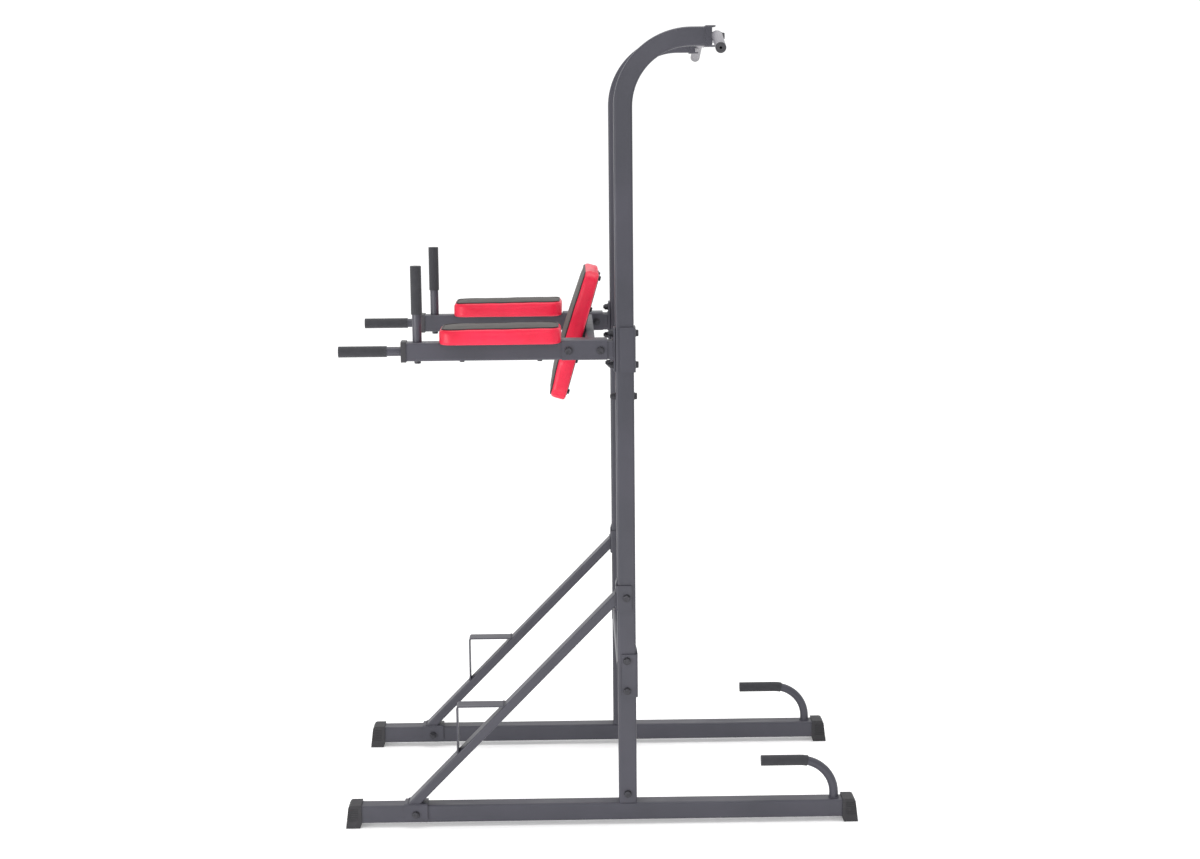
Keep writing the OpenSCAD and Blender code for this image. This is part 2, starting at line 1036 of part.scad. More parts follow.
frame_paint() left() base_rail();  // base_rail_left
frame_paint() right() base_rail();  // base_rail_right
black_rubber() left() rail_foot(-1);  // rail_foot_front_left
black_rubber() right() rail_foot(-1);  // rail_foot_front_right
black_rubber() left() rail_foot(1);  // rail_foot_rear_left
black_rubber() right() rail_foot(1);  // rail_foot_rear_right
frame_paint() both() post_spigot();  // post_spigots
frame_paint() left() lower_post();  // lower_post_left
frame_paint() right() lower_post();  // lower_post_right
frame_paint() left() upper_post();  // upper_post_left
frame_paint() right() upper_post();  // upper_post_right
frame_paint() both() joint_sleeve();  // joint_sleeves
frame_paint() both() joint_saddle();  // joint_saddles
frame_paint() left() brace();  // brace_left
frame_paint() right() brace();  // brace_right
frame_paint() both() brace_foot_saddle();  // brace_foot_saddles
frame_paint() both() brace_head_saddle();  // brace_head_saddles
frame_paint() left() foot_step();  // foot_step_left
frame_paint() right() foot_step();  // foot_step_right
frame_paint() lower_crossbar();
frame_paint() both() crossbar_saddle();  // crossbar_saddles
black_rubber() both() saddle_guards();
frame_paint() left() push_up_handle();  // push_up_handle_left
frame_paint() right() push_up_handle();  // push_up_handle_right
dark_grip() both() push_up_grip();  // push_up_grips
frame_paint() left() dip_arm();  // dip_arm_left
frame_paint() right() dip_arm();  // dip_arm_right
frame_paint() both() arm_flange();  // arm_flanges
frame_paint() both() arm_end_plate();  // arm_end_plates
black_rubber() both() arm_end_cap();  // arm_end_caps
frame_paint() both() forward_handle();  // forward_handles
dark_grip() both() forward_grip();  // forward_grips
frame_paint() both() upright_handle();  // upright_handles
dark_grip() both() upright_grip();  // upright_grips
red_vinyl() left() arm_pad();  // arm_pad_left
red_vinyl() right() arm_pad();  // arm_pad_right
board_black() both() pad_board();  // arm_pad_boards
red_vinyl() backrest_pad();
board_black() backrest_board();
frame_paint() backrest_crossbar();
frame_paint() both() backrest_saddle();  // backrest_saddles
frame_paint() {  // backrest_straps
    backrest_strap(-strap_x);
    backrest_strap(strap_x);
}
grey_bar() pull_up_bar();
frame_paint() both() bar_cradle();  // bar_cradles
black_rubber() {  // bar_end_caps
    bar_end_cap();
    mirror([1, 0, 0])
        bar_end_cap();
}
black_zinc() cross_bolts(post_foot_joint);  // post_foot_bolts
black_zinc() cross_bolts(brace_joint);  // brace_bolts
black_zinc() cross_bolts(crossbar_joint);  // crossbar_bolts
black_zinc() joint_bolts();
black_zinc() cross_bolts(backrest_joint);  // backrest_bolts
black_zinc() pull_up_bar_bolts();
black_zinc() upright_handle_bolts();
black_zinc() arm_pad_screws();
black_zinc() backrest_screws();
black_zinc() lock_nuts();
black_zinc() washers();
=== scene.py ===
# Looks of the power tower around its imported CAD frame: finishes, padded covers, piping,
# weld beads, soft grips, studio and camera. Metres, in the CAD frame.
import json
import math
from collections import namedtuple

import bpy
from mathutils import Matrix, Vector


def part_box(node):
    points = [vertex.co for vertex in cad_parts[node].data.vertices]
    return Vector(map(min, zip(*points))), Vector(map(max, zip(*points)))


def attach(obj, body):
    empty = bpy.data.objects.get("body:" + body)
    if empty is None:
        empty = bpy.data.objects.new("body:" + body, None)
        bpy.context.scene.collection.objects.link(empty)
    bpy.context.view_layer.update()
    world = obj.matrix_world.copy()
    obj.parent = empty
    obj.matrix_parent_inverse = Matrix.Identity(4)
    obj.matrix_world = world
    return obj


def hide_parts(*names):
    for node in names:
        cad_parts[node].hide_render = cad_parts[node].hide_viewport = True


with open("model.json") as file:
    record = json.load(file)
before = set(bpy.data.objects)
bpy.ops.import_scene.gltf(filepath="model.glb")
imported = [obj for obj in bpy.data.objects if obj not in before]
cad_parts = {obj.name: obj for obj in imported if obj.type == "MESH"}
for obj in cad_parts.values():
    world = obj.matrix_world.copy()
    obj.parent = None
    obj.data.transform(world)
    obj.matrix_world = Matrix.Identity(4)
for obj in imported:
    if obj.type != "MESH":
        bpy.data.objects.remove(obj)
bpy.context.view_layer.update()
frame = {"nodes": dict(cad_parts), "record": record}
NODES = frame["nodes"]
X, Y, Z = Vector((1, 0, 0)), Vector((0, 1, 0)), Vector((0, 0, 1))

Box = namedtuple("Box", "lo hi mid size")


def box_of(node):
    lo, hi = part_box(node)
    return Box(lo, hi, (lo + hi) / 2, hi - lo)


# ---------- node materials ----------

def srgb(*levels):
    """Linear RGBA of a screen colour given in levels of 255."""
    return [v / 255 / 12.92 if v <= 10 else ((v / 255 + 0.055) / 1.055) ** 2.4
            for v in levels] + [1]


class Graph:
    """A material's node tree with a few short calls."""

    def __init__(self, name):
        self.mat = bpy.data.materials.new(name)
        self.mat.use_nodes = True
        self.tree = self.mat.node_tree
        self.bsdf = self.tree.nodes["Principled BSDF"]
        self.coords = self.node("ShaderNodeTexCoord").outputs["Object"]

    def node(self, kind, inputs=(), **props):
        n = self.tree.nodes.new(kind)
        for k, v in props.items():
            setattr(n, k, v)
        for k, v in dict(inputs).items():
            self.put(n.inputs[k], v)
        return n

    def put(self, socket, value):
        if isinstance(value, bpy.types.NodeSocket):
            self.tree.links.new(value, socket)
        else:
            socket.default_value = value

    def stretched(self, scale):
        return self.node("ShaderNodeMapping", {"Vector": self.coords, "Scale": scale}).outputs[0]

    def noise(self, scale, detail=2.0, rough=0.5, vector=None, distort=0.0):
        return self.node("ShaderNodeTexNoise", {
            "Vector": vector or self.coords, "Scale": scale, "Detail": detail,
            "Roughness": rough, "Distortion": distort}).outputs["Fac"]

    def cells(self, scale, feature="F1"):
        return self.node("ShaderNodeTexVoronoi", {
            "Vector": self.coords, "Scale": scale}, feature=feature).outputs["Distance"]

    def ranged(self, value, a0, a1, b0, b1):
        return self.node("ShaderNodeMapRange", {
            "Value": value, "From Min": a0, "From Max": a1, "To Min": b0, "To Max": b1}).outputs[0]

    def mix(self, fac, a, b):
        return self.node("ShaderNodeMix", {"Factor": fac, 6: a, 7: b}, data_type="RGBA").outputs[2]

    def bump(self, height, strength, distance, normal=None):
        inputs = {"Height": height, "Strength": strength, "Distance": distance}
        if normal:
            inputs["Normal"] = normal
        return self.node("ShaderNodeBump", inputs).outputs[0]

    def set(self, **sockets):
        for k, v in sockets.items():
            self.put(self.bsdf.inputs[k.replace("_", " ")], v)
        return self.mat


def powder_coat(name, dark, light, rough):
    """Semi-gloss powder coat: fine orange peel, faint clouding and a light film of dust."""
    g = Graph(name)
    cloud = g.noise(5, 3)
    grain = g.noise(1500, 2, 0.6)
    base = g.mix(g.ranged(cloud, 0.35, 0.65, 0.0, 1.0), dark, light)
    speck = g.ranged(grain, 0.62, 0.78, 0.0, 0.35)
    colour = g.mix(speck, base, [min(1, c * 1.6) for c in light[:3]] + [1])
    smear = g.noise(22, 4, 0.6, g.stretched((1, 0.35, 0.35)))
    peel = g.noise(420, 3, 0.55)
    return g.set(
        Base_Color=colour,
        Roughness=g.ranged(smear, 0.3, 0.7, rough - 0.05, rough + 0.09),
        Normal=g.bump(grain, 0.10, 0.00006, g.bump(peel, 0.30, 0.00022)),
        Specular_IOR_Level=0.5, Coat_Weight=0.08, Coat_Roughness=0.3)


def moulded(name, dark, light, rough, pores, depth):
    """Moulded rubber or plastic with a fine eroded surface."""
    g = Graph(name)
    fine = g.noise(pores, 3, 0.6)
    broad = g.noise(14, 3)
    colour = g.mix(g.ranged(broad, 0.3, 0.7, 0.0, 1.0), dark, light)
    dusty = g.ranged(g.noise(60, 4, 0.65), 0.55, 0.8, 0.0, 0.25)
    pale = [min(1, c * 2.2 + 0.01) for c in light[:3]] + [1]
    return g.set(
        Base_Color=g.mix(dusty, colour, pale),
        Roughness=g.ranged(fine, 0.3, 0.7, rough - 0.07, rough + 0.07),
        Normal=g.bump(fine, 0.35, depth), Specular_IOR_Level=0.4)


def foam(name, dark, light):
    """Closed-cell foam of the grips: fine cells with painted shade in their pits, long soft streaks
    from pulling it on.
    """
    g = Graph(name)
    cell = g.cells(1500)
    streak = g.noise(60, 3, 0.6)
    colour = g.mix(g.ranged(streak, 0.3, 0.7, 0.0, 1.0), dark, light)
    # painted shade: the pits of the cells are darkened towards black, as shade would darken them
    pit_shade = g.ranged(cell, 0.0, 0.35, 0.55, 0.0)
    return g.set(
        Base_Color=g.mix(pit_shade, colour, [c * 0.4 for c in dark[:3]] + [1]),
        Roughness=g.ranged(streak, 0.3, 0.7, 0.72, 0.86),
        Normal=g.bump(g.noise(90, 2), 0.25, 0.0006, g.bump(cell, 0.5, 0.00025)),
        Sheen_Weight=0.15, Sheen_Roughness=0.5, Specular_IOR_Level=0.3)


def vinyl(name, dark, light, rough, coat, specular):
    """Upholstery vinyl: pebbled grain with painted shade in its grooves, soft puckers and a
    slightly worn shine.
    """
    g = Graph(name)
    pebble = g.cells(620, "SMOOTH_F1")
    fine = g.noise(1300, 2, 0.6)
    broad = g.noise(9, 3)
    pucker = g.noise(34, 2, 0.45, distort=0.6)
    colour = g.mix(g.ranged(broad, 0.3, 0.7, 0.0, 1.0), dark, light)
    # painted shade: the grooves between the pebbles are darkened, as shade would darken them
    groove_shade = g.ranged(pebble, 0.35, 0.75, 0.0, 0.30)
    groove_shade_colour = [c * 0.55 for c in dark[:3]] + [1]
    normal = g.bump(pucker, 0.55, 0.0022)
    normal = g.bump(pebble, 0.38, 0.0003, normal)
    return g.set(
        Base_Color=g.mix(groove_shade, colour, groove_shade_colour),
        Roughness=g.ranged(g.noise(18, 4, 0.6), 0.3, 0.7, rough - 0.06, rough + 0.08),
        Normal=g.bump(fine, 0.12, 0.00008, normal),
        Coat_Weight=coat, Coat_Roughness=0.35, Specular_IOR_Level=specular)


def zinc(name):
    """Black zinc on bolts, nuts and washers: blotchy, a little brighter where turned."""
    g = Graph(name)
    blotch = g.noise(160, 4, 0.6)
    colour = g.mix(g.ranged(blotch, 0.35, 0.7, 0.0, 1.0), srgb(44, 44, 48), srgb(66, 65, 71))
    return g.set(
        Base_Color=colour, Metallic=0.45,
        Roughness=g.ranged(blotch, 0.3, 0.7, 0.34, 0.52),
        Normal=g.bump(g.noise(900, 2), 0.25, 0.00008))


def fibre_board(name):
    """Black painted board behind the pads, with the press marks of its fibres."""
    g = Graph(name)
    fibre = g.noise(260, 4, 0.7, g.stretched((1, 0.3, 0.3)))
    colour = g.mix(g.ranged(fibre, 0.3, 0.7, 0.0, 1.0), srgb(24, 23, 23), srgb(46, 44, 43))
    return g.set(
        Base_Color=colour, Roughness=g.ranged(fibre, 0.3, 0.7, 0.7, 0.85),
        Normal=g.bump(fibre, 0.4, 0.0003))


MATS = {
    "frame_paint": powder_coat("frame_powder_coat", srgb(51, 51, 60), srgb(59, 58, 68), 0.46),
    "bar_paint": powder_coat("bar_powder_coat", srgb(110, 108, 114), srgb(124, 122, 128), 0.42),
    "foot_rubber": moulded("foot_rubber", srgb(42, 41, 44), srgb(50, 49, 52), 0.62, 900, 0.0002),
    "cap_plastic": moulded("cap_plastic", srgb(46, 45, 49), srgb(56, 55, 59), 0.5, 1400, 0.0001),
    "grip_rubber": foam("grip_foam", srgb(46, 46, 50), srgb(56, 56, 60)),
    "red_vinyl": vinyl("red_vinyl", srgb(204, 12, 50), srgb(230, 26, 66), 0.40, 0.0, 0.42),
    "grey_vinyl": vinyl("grey_vinyl", srgb(58, 54, 51), srgb(70, 65, 62), 0.62, 0.0, 0.45),
    "piping": vinyl("piping_vinyl", srgb(34, 26, 28), srgb(46, 36, 38), 0.5, 0.0, 0.3),
    "board": fibre_board("board_fibre"),
    "black_zinc": zinc("black_zinc"),
}

FLAT_WITHIN = 0.6  # degrees between CAD triangles that count as one flat face
SLOT_OF = {node: row["slot"] for row in frame["record"].get("materials", [])
           for node in row.get("nodes", [])}


def finish_of(node):
    if node in SLOT_OF:
        return SLOT_OF[node]
    if node == "pull_up_bar":
        return "bar_paint"
    if node.startswith("rail_foot"):
        return "foot_rubber"
    if node.endswith("caps"):
        return "cap_plastic"
    if node.endswith("grips"):
        return "grip_rubber"
    if node.startswith("arm_pad_screws") or node.endswith(("bolts", "screws", "nuts", "washers")):
        return "black_zinc"
    if node.endswith(("board", "boards")):
        return "board"
    if "pad" in node:
        return "red_vinyl"
    return "frame_paint"


def edge_round(obj, width, segments, angle):
    """Merges the flat triangles of a CAD mesh and breaks its sharp edges."""
    flat = obj.modifiers.new("flat", "DECIMATE")
    flat.decimate_type = "DISSOLVE"
    flat.angle_limit = math.radians(FLAT_WITHIN)
    b = obj.modifiers.new("edges", "BEVEL")
    b.width = width
    b.segments = segments
    b.limit_method = "ANGLE"
    b.angle_limit = math.radians(angle)
    b.harden_normals = False
    b.use_clamp_overlap = True


for name, obj in NODES.items():
    obj.data.materials.clear()
    obj.data.materials.append(MATS[finish_of(name)])
    for p in obj.data.polygons:
        p.material_index = 0


# ---------- mesh helpers ----------

def add_object(name, data):
    obj = bpy.data.objects.new(name, data)
    bpy.context.scene.collection.objects.link(obj)
    return obj


def new_mesh(name, verts, faces, mats):
    me = bpy.data.meshes.new(name)
    me.from_pydata([tuple(v) for v in verts], [], faces)
    me.validate()
    for m in mats:
        me.materials.append(m)
    for p in me.polygons:
        p.use_smooth = True
    return add_object(name, me)


def rounded_loop(w, h, r, n_side, n_corner):
    """Points of a rounded rectangle, from the middle of its top side, clockwise, mirrored."""
    half = []
    n_top, n_right = n_side
    cx, cy = w / 2 - r, h / 2 - r
    for i in range(n_top):
        half.append((cx * i / n_top, h / 2))
    for i in range(n_corner):
        a = math.pi / 2 * (1 - i / n_corner)
        half.append((cx + r * math.cos(a), cy + r * math.sin(a)))
    for i in range(n_right):
        half.append((w / 2, cy - 2 * cy * i / n_right))
    for i in range(n_corner):
        a = -math.pi / 2 * i / n_corner
        half.append((cx + r * math.cos(a), -cy + r * math.sin(a)))
    for i in range(n_top):
        half.append((cx * (1 - i / n_top), -h / 2))
    half.append((0.0, -h / 2))
    left = [(-x, y) for x, y in half[1:-1]][::-1]
    return half + left


def sweep(path, radius, closed=True, ripple=0.0, pitch=1.0):
    """Vertices and faces of a round tube along a path. ripple makes the scales of a weld, one
    every pitch, and an open run tapers at its ends."""
    sides = 8
    n = len(path)
    verts, faces = [], []
    run = 0.0
    last_side = None
    for i in range(n):
        if closed:
            t = path[(i + 1) % n] - path[i - 1]
        else:
            t = path[min(i + 1, n - 1)] - path[max(i - 1, 0)]
        t = t.normalized()
        if last_side is None:
            ref = Vector((0, 0, 1)) if abs(t.z) < 0.9 else Vector((1, 0, 0))
            side = t.cross(ref).normalized()
        else:
            side = (last_side - t * last_side.dot(t)).normalized()
        last_side = side
        up = side.cross(t)
        rr = radius
        if ripple:
            phase = run / pitch % 1.0
            rr = radius * (1 + ripple * (abs(2 * phase - 1) - 0.5))
        if not closed:
            rr *= min(1.0, 0.25 + 0.4 * min(i, n - 1 - i))
        for k in range(sides):
            a = 2 * math.pi * k / sides
            verts.append(path[i] + (side * math.cos(a) + up * math.sin(a)) * rr)
        run += (path[(i + 1) % n] - path[i]).length
    rows = n if closed else n - 1
    for i in range(rows):
        j = (i + 1) % n
        for k in range(sides):
            k2 = (k + 1) % sides
            faces.append((i * sides + k, j * sides + k, j * sides + k2, i * sides + k2))
    if not closed:
        faces.append(tuple(range(sides)))
        faces.append(tuple((n - 1) * sides + k for k in reversed(range(sides))))
    return verts, faces


def resample(path, step, closed=True):
    """Evenly spaced points along a polyline."""
    pts = list(path) + ([path[0]] if closed else [])
    cum = [0.0]
    for a, b in zip(pts, pts[1:]):
        cum.append(cum[-1] + (b - a).length)
    count = max(4, round(cum[-1] / step))
    out, k = [], 0
    for i in range(count if closed else count + 1):
        s = cum[-1] * i / count
        while k < len(cum) - 2 and cum[k + 1] < s:
            k += 1
        span = cum[k + 1] - cum[k] or 1
        out.append(pts[k].lerp(pts[k + 1], (s - cum[k]) / span))
    return out


class Parts:
    """Collects swept runs into one object."""

    def __init__(self):
        self.verts, self.faces = [], []

    def add(self, made):
        verts, faces = made
        base = len(self.verts)
        self.verts += verts
        self.faces += [tuple(base + i for i in f) for f in faces]

    def build(self, name, mat):
        obj = new_mesh(name, self.verts, self.faces, [mat])
        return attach(obj, "root")


# ---------- padded pieces ----------

STEP = 0.007      # spacing of the rows and points
CORNER = 0.034    # corner radius of the pads
CROWN = 0.0040    # how far the middle of the face stands above its edge
SEAM_IN = 0.0078  # how far the seam lies inside the outline
PULL_IN = 0.0016  # how far the long sides pull in at their middles
UNDER = 0.0075    # rounding of the lower rim
ROLL = 0.011      # height of the rounding below the seam
STITCH = 0.0006   # width of the groove at the seam


def beside(x):
    """0 over the arm that carries a pad, 1 beside it, where the cover hangs a little lower."""
    clear, fade = 0.030, 0.018
    t = min(1.0, max(0.0, (abs(x) - clear) / fade))
    return t * t * (3 - 2 * t)


def cushion_shell(w, h, depth, seam, shoulder, droop):
    """Closed mesh of a boxed cushion: back at z = 0, face at z = depth; rows of points follow the
    outline, so the seam is a loop of edges. Returns vertices, faces and the role of each vertex."""
    n_side = (max(4, round((w / 2 - CORNER) / STEP)), max(6, round((h - 2 * CORNER) / STEP)))
    n_corner = max(6, round(CORNER * 1.57 / STEP))
    least_radius = 0.0015
    rows = []

    def row(inset, z, role, sag=0.0):
        k = max(CORNER - inset, least_radius)
        loop = rounded_loop(w - 2 * inset, h - 2 * inset, k, n_side, n_corner)
        rows.append((role, [Vector((x, y, z - droop * sag * beside(x))) for x, y in loop]))

    # back, from its middle out to the rim
    innermost = min(w, h) / 2 - STEP * 0.8
    for d in frange(innermost, 0.020, STEP * 1.6):
        row(d, 0.0, "back")
    row(0.016, 0.0, "back")
    row(0.0125, 0.0, "back", 0.45)
    for i in range(5):
        a = math.pi / 2 * i / 5
        row(UNDER * (1 - math.sin(a)), UNDER * (1 - math.cos(a)),
            "back" if i == 0 else "rim", 1.0)
    # sides, up to the seam
    n_box = max(5, round((seam - ROLL - UNDER) / STEP))
    for i in range(n_box):
        row(0.0, UNDER + (seam - ROLL - UNDER) * i / n_box, "box", 1 - i / n_box)
    for i in range(5):
        a = math.pi / 2 * i / 5
        row(SEAM_IN * (1 - math.cos(a)), seam - ROLL + (ROLL - 0.0004) * math.sin(a), "box")
    row(SEAM_IN + STITCH, seam, "seam")
    # face, from the seam to its middle
    edge = depth - CROWN
    start = SEAM_IN + shoulder
    for i in range(1, 5):
        a = math.pi / 2 * i / 5
        row(SEAM_IN + STITCH + (shoulder - STITCH) * (1 - math.cos(a)),
            seam + STITCH + (edge - seam - STITCH) * math.sin(a), "face")
    for d in [d for d in frange(innermost, start + STEP * 0.7, STEP)][::-1]:
        t = (d - start) / (innermost - start)
        row(d, edge + CROWN * math.sin(t * math.pi / 2), "face")
    # the innermost loops get pointed ends, so the rungs that close them have some area
    for _, loop in (rows[0], rows[-1]):
        top = loop[0].y
        for p in loop:
            p.y -= math.copysign(0.5 * abs(p.x) * (p.y / top) ** 2, p.y)

    n = len(rows[0][1])
    verts, faces, roles = [], [], []
    for role, loop in rows:
        verts += loop
        roles += [role] * n
    for i in range(len(rows) - 1):
        for k in range(n):
            k2 = (k + 1) % n
            faces.append((i * n + k, (i + 1) * n + k, (i + 1) * n + k2, i * n + k2))
    half = n // 2
    ladder = [(0, 1, n - 1)]
    ladder += [(i, i + 1, n - i - 1, n - i) for i in range(1, half - 1)]
    ladder += [(half - 1, half, half + 1)]
    last = (len(rows) - 1) * n
    faces += ladder
    faces += [tuple(last + i for i in reversed(f)) for f in ladder]
    return verts, faces, roles


def frange(top, bottom, step):
    """Falling values from top down to bottom."""
    v = top
    while v > bottom:
        yield v
        v -= step


def inflate(obj, pins, pressure, cap, frames=20):
    """Swells the piece as stuffed cloth with its pinned rows held, then keeps the result."""
    start = [v.co.copy() for v in obj.data.vertices]
    group = obj.vertex_groups.new(name="held")
    for weight, ids in pins.items():
        group.add(ids, weight, "REPLACE")
    mod = obj.modifiers.new("cloth", "CLOTH")
    c = mod.settings
    c.quality = 6
    c.mass = 0.25
    c.tension_stiffness = 28
    c.compression_stiffness = 18
    c.shear_stiffness = 10
    c.bending_stiffness = 1.2
    c.use_pressure = True
    c.uniform_pressure_force = pressure
    c.vertex_group_mass = "held"
    c.pin_stiffness = 1.0
    c.effector_weights.gravity = 0.0
    mod.collision_settings.use_self_collision = False
    mod.point_cache.frame_start = 1
    mod.point_cache.frame_end = frames
    scene = bpy.context.scene
    for f in range(1, frames + 1):
        scene.frame_set(f)
    dg = bpy.context.evaluated_depsgraph_get()
    done = [v.co.copy() for v in obj.evaluated_get(dg).data.vertices]
    obj.modifiers.remove(mod)
    obj.vertex_groups.clear()
    for v, a, b in zip(obj.data.vertices, start, done):
        d = b - a
        if d.length > cap:
            d = d.normalized() * cap
        v.co = a + d
    obj.data.update()
    scene.frame_set(1)


def puckers(run, share, height, seed):
    """A small wave along an edge, as foam and cloth never run quite straight."""
    wave = math.sin(run * 41 + seed) * 0.6 + math.sin(run * 97 + seed * 2.3) * 0.4
    return height * wave * share


def cushion(name, node, w, h, depth, seam, shoulder, droop, place, cap, seed, bow):
    """A boxed cushion with a grey face, red sides and dark piping on its seam. bow gives how far
    the seam and the face move outwards at a place along the length, from -1 to 1."""
    verts, faces, roles = cushion_shell(w, h, depth, seam, shoulder, droop)
    for v, role in zip(verts, roles):
        share = {"seam": 1.0, "face": 1.0, "box": max(0.0, v.z) / seam}.get(role, 0.0)
        v.z += bow(v.y / (h / 2)) * share
        waist = PULL_IN * share * abs(v.x) / (w / 2)
        v.x -= math.copysign(waist * (1 - (v.y / (h / 2)) ** 2), v.x)
    obj = new_mesh(name, verts, faces, [MATS["red_vinyl"], MATS["grey_vinyl"]])
    me = obj.data
    for p in me.polygons:
        p.material_index = int(all(roles[i] in ("seam", "face") for i in p.vertices))
    held = [i for i, role in enumerate(roles) if role in ("back", "rim")]
    seams = [i for i, role in enumerate(roles) if role == "seam"]
    inflate(obj, {1.0: held, 0.9: seams}, 3.0, cap)
    for v, role in zip(me.vertices, roles):
        if role in ("box", "seam", "face"):
            share = min(1.0, v.co.z / seam)
            v.co.z += puckers(v.co.x + v.co.y, share, 0.00045, seed)
            if role == "box":
                side = Vector((v.co.x, v.co.y * w / h, 0)).normalized()
                v.co += side * puckers(v.co.x - v.co.y, share, 0.0006, seed + 1)
    ring = [v.co.copy() for v, role in zip(me.vertices, roles) if role == "seam"]
    me.transform(place)
    sub = obj.modifiers.new("smooth", "SUBSURF")
    sub.levels = sub.render_levels = 1
    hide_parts(node)
    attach(obj, "root")
    out_by, up_by, cord_radius = 0.0006, 0.0004, 0.0020
    path = []
    for p in ring:
        side = Vector((p.x / w, p.y / h, 0)).normalized()
        path.append(place @ (p + side * out_by + Z * up_by))
    cord = Parts()
    cord.add(sweep(resample(path, 0.004), cord_radius))
    cord.build(name + "_piping", MATS["piping"])


PAD_PLAY = 0.002  # the cover's outline is this much smaller than the CAD pad
for side, seed in (("left", 1.0), ("right", 2.6)):
    pad = box_of("arm_pad_" + side)
    place = Matrix.Translation((pad.mid.x, pad.mid.y, pad.lo.z))
    cushion("arm_pad_%s_cushion" % side, "arm_pad_" + side,
            pad.size.x - PAD_PLAY, pad.size.y - PAD_PLAY, pad.size.z - 0.0026,
            seam=0.0402, shoulder=0.0080, droop=0.0022, place=place, cap=0.0022, seed=seed,
            bow=lambda t: 0.0016 * t)

# The backrest leans back: its frame has +Z out of the face (towards the user) and +Y up the slope
tilt = math.radians(16)
pad = box_of("backrest_pad")
back_t = 0.054
back_h = (pad.size.z - back_t * math.sin(tilt)) / math.cos(tilt)
up = Vector((0, math.sin(tilt), math.cos(tilt)))
out = Vector((0, -math.cos(tilt), math.sin(tilt)))
origin = pad.mid - out * (back_t / 2)
place = Matrix((
    (1, up.x, out.x, origin.x), (0, up.y, out.y, origin.y), (0, up.z, out.z, origin.z),
    (0, 0, 0, 1)))
cushion("backrest_cushion", "backrest_pad",
        pad.size.x - PAD_PLAY, back_h - PAD_PLAY, back_t - 0.0095,
        seam=0.0390, shoulder=0.0090, droop=0.0, place=place, cap=0.0025, seed=4.2,
        bow=lambda t: 0.0075 * math.cos((t + 0.25) * 1.15) ** 2)


# ---------- soft grips and broken edges ----------

# width in metres, segments, sharpest angle left alone in degrees, and the nodes
ROUNDING = (
    (0.0028, 4, 50, ("upright_grips", "forward_grips", "push_up_grips")),
    (0.0007, 2, 35, ("joint_saddles", "brace_foot_saddles", "brace_head_saddles",
                     "crossbar_saddles", "backrest_saddles", "arm_flanges", "backrest_straps",
                     "foot_step_left", "foot_step_right", "bar_cradles")),
    (0.0003, 2, 35, ("arm_end_caps", "rail_foot_front_left", "rail_foot_front_right",
                     "rail_foot_rear_left", "rail_foot_rear_right")),
    (0.0009, 3, 35, ("bar_end_caps",)),
    (0.0003, 1, 35, ("washers", "lock_nuts")),
)
for width, segments, angle, names in ROUNDING:
    for name in names:
        edge_round(NODES[name], width, segments, angle)


# ---------- weld beads ----------

FIT = 0.001             # a bead's loop is this much wider than its tube
BEAD_RADIUS = 0.0019
BEAD_POINTS = 0.0008    # spacing of the points along a bead
SCALES = 0.0026         # length of one scale of a weld
OFF = 0.0006            # a bead's middle stands this far off the plate
OFF_END = 0.0004
FLAT_TUBE = 0.025       # thickness of the braces' tube
BRACE_SLOPE = math.radians(45.59)
HANDLE_RADIUS = 0.0131  # of the bead round a push-up handle's foot
HANDLE_HALF = 0.0125    # from the handle's rear side to the middle of its foot
BAR_CORNER, TUBE_CORNER = 0.005, 0.0065


def loop_on(centre, u, v, w, h, r):
    """A rounded rectangle round a point, with its sides along u and v."""
    flat = rounded_loop(w + FIT, h + FIT, r, (4, 4), 4)
    return [centre + u * x + v * y for x, y in flat]


def bead(points, closed=True):
    path = resample(points, BEAD_POINTS, closed)
    beads.add(sweep(path, BEAD_RADIUS, closed, 0.34, SCALES))


beads = Parts()
rail = box_of("base_rail_left")
tube = rail.size.x
brace = box_of("brace_left")
push = box_of("push_up_handle_left")
arm = box_of("dip_arm_left")
post = box_of("upper_post_left")
step = box_of("foot_step_left")

for s in (1, -1):
    sx = s * rail.mid.x
    # foot and head of the brace, on its saddles
    long = FLAT_TUBE / math.sin(BRACE_SLOPE)
    c = Vector((sx, brace.lo.y + long / 2, brace.lo.z + OFF))
    bead(loop_on(c, X, Y, tube, long, BAR_CORNER))
    tall = FLAT_TUBE / math.cos(BRACE_SLOPE)
    c = Vector((sx, brace.hi.y - OFF, brace.hi.z - tall / 2))
    bead(loop_on(c, X, Z, tube, tall, BAR_CORNER))
    # push-up handle on the rail
    c = Vector((sx, push.hi.y - HANDLE_HALF, rail.hi.z + OFF))
    bead([c + HANDLE_RADIUS * (X * math.cos(a) + Y * math.sin(a))
          for a in [2 * math.pi * i / 40 for i in range(40)]])
    # dip arm on its flange
    c = Vector((sx, arm.hi.y - OFF, arm.mid.z))
    bead(loop_on(c, X, Z, tube, tube, TUBE_CORNER))
    # crossbars on their saddles
    for bar in (box_of("lower_crossbar"), box_of("backrest_crossbar")):
        c = Vector((s * (bar.hi.x - OFF), bar.mid.y, bar.mid.z))
        bead(loop_on(c, Y, Z, bar.size.y, bar.size.z, BAR_CORNER))
    # bar cradle on the post's end
    c = Vector((sx, post.hi.y - OFF_END, post.hi.z - tube / 2))
    bead(loop_on(c, X, Z, tube, tube, TUBE_CORNER))
    # upper and lower end of the foot step on the brace
    plate = 0.004
    for y, z in ((step.lo.y - OFF_END, step.lo.z + plate),
                 (step.hi.y - plate, step.hi.z + OFF_END)):
        c = Vector((sx, y, z))
        bead([c - X * step.size.x / 2, c + X * step.size.x / 2], False)
beads.build("weld_beads", MATS["frame_paint"])


# ---------- studio and camera ----------

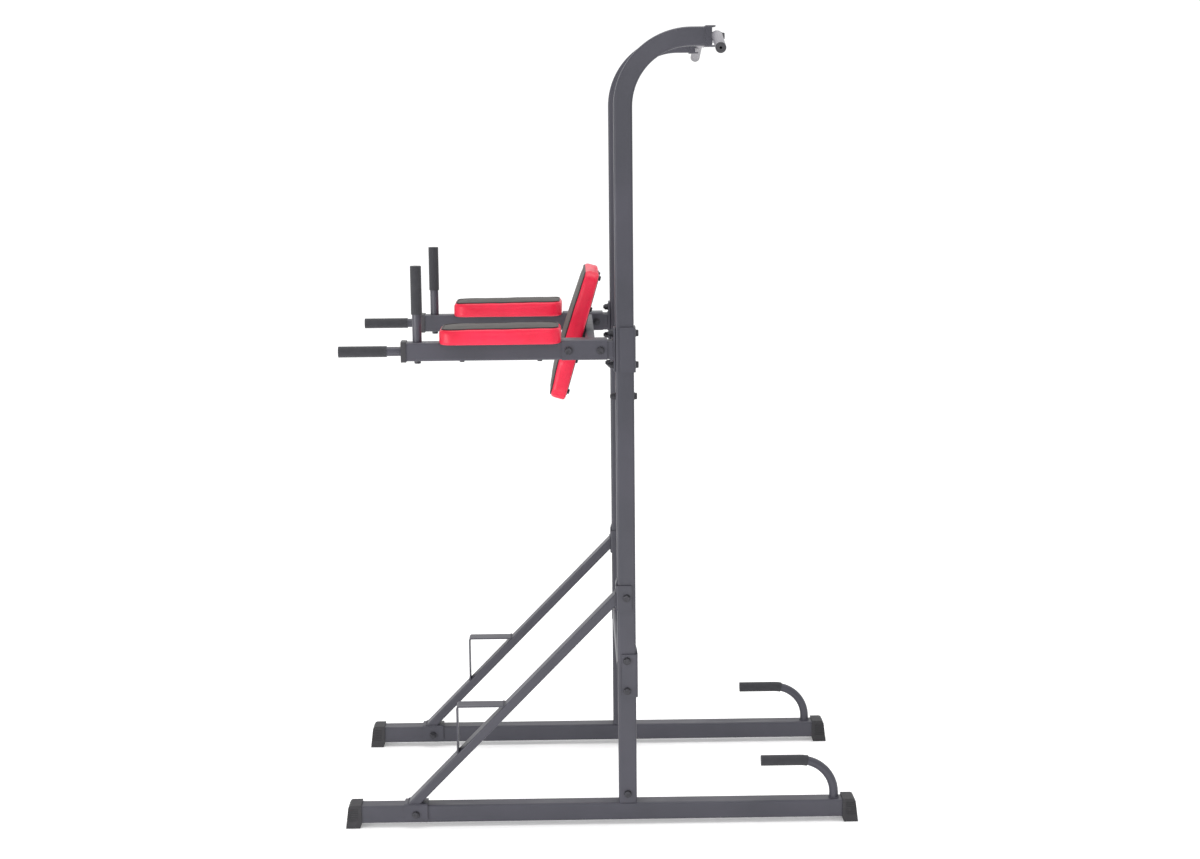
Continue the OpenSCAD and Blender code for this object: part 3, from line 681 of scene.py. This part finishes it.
g = Graph("studio_floor")
floor_mat = g.set(
    Base_Color=g.mix(g.noise(0.8, 3), (0.93, 0.93, 0.93, 1), (0.95, 0.95, 0.95, 1)),
    Roughness=g.ranged(g.noise(3, 3), 0.3, 0.7, 0.85, 0.95),
    Normal=g.bump(g.noise(300, 2), 0.05, 0.0001), Specular_IOR_Level=0.1,
    Emission_Color=(1, 1, 1, 1), Emission_Strength=0.22)
span = 60
corners = [(-span, -span, 0), (span, -span, 0), (span, span, 0), (-span, span, 0)]
new_mesh("studio_floor_plane", corners, [(0, 1, 2, 3)], [floor_mat])

world = bpy.data.worlds.new("studio")
bpy.context.scene.world = world
world.use_nodes = True
tree = world.node_tree
# brighter behind the object than behind the camera
backdrop = tree.nodes["Background"]
backdrop.inputs["Color"].default_value = (1, 1, 1, 1)
split = tree.nodes.new("ShaderNodeSeparateXYZ")
ramp = tree.nodes.new("ShaderNodeMapRange")
ramp.interpolation_type = "SMOOTHSTEP"
for socket, value in (("From Min", 0.1), ("From Max", 0.7), ("To Min", 1.1), ("To Max", 0.56)):
    ramp.inputs[socket].default_value = value
tree.links.new(tree.nodes.new("ShaderNodeTexCoord").outputs["Generated"], split.inputs[0])
tree.links.new(split.outputs["X"], ramp.inputs["Value"])
tree.links.new(ramp.outputs[0], backdrop.inputs["Strength"])


def soft_light(name, place, aim, size, power):
    data = bpy.data.lights.new(name, "AREA")
    data.shape = "RECTANGLE"
    data.size, data.size_y = size
    data.energy = power
    obj = add_object(name, data)
    obj.location = place
    obj.rotation_mode = "QUATERNION"
    obj.rotation_quaternion = (Vector(aim) - Vector(place)).to_track_quat("-Z", "Y")


soft_light("key_light", (3.2, -3.4, 0.9), (0, -0.2, 0.6), (2.2, 1.2), 78)
soft_light("low_light", (2.3, 0.1, 0.10), (0.4, 0.1, 0.15), (2.6, 0.16), 4.4)
soft_light("high_light", (4.6, 0.2, 3.0), (0.36, 0.15, 2.1), (0.8, 0.6), 22)
soft_light("top_light", (0.4, 0.2, 5.2), (0, 0, 0), (3.2, 3.2), 90)

eye = Vector((5.7282, -0.0701, 1.9895))
yaw, pitch, roll = math.radians(0.789), math.radians(9.238), math.radians(-0.551)
back = -Vector((-math.cos(yaw) * math.cos(pitch), math.sin(yaw) * math.cos(pitch),
                -math.sin(pitch)))
level = Vector((math.sin(yaw), math.cos(yaw), 0))
upright = level.cross(-back)
right = level * math.cos(roll) + upright * math.sin(roll)
above = -level * math.sin(roll) + upright * math.cos(roll)
cam_data = bpy.data.cameras.new("camera")
cam_data.sensor_width = 36
cam_data.lens = 60
cam_data.clip_start, cam_data.clip_end = 0.1, 200
cam = add_object("camera", cam_data)
cam.matrix_world = Matrix((
    (right.x, above.x, back.x, eye.x), (right.y, above.y, back.y, eye.y),
    (right.z, above.z, back.z, eye.z), (0, 0, 0, 1)))
bpy.context.scene.camera = cam
bpy.context.scene.view_settings.view_transform = "Standard"
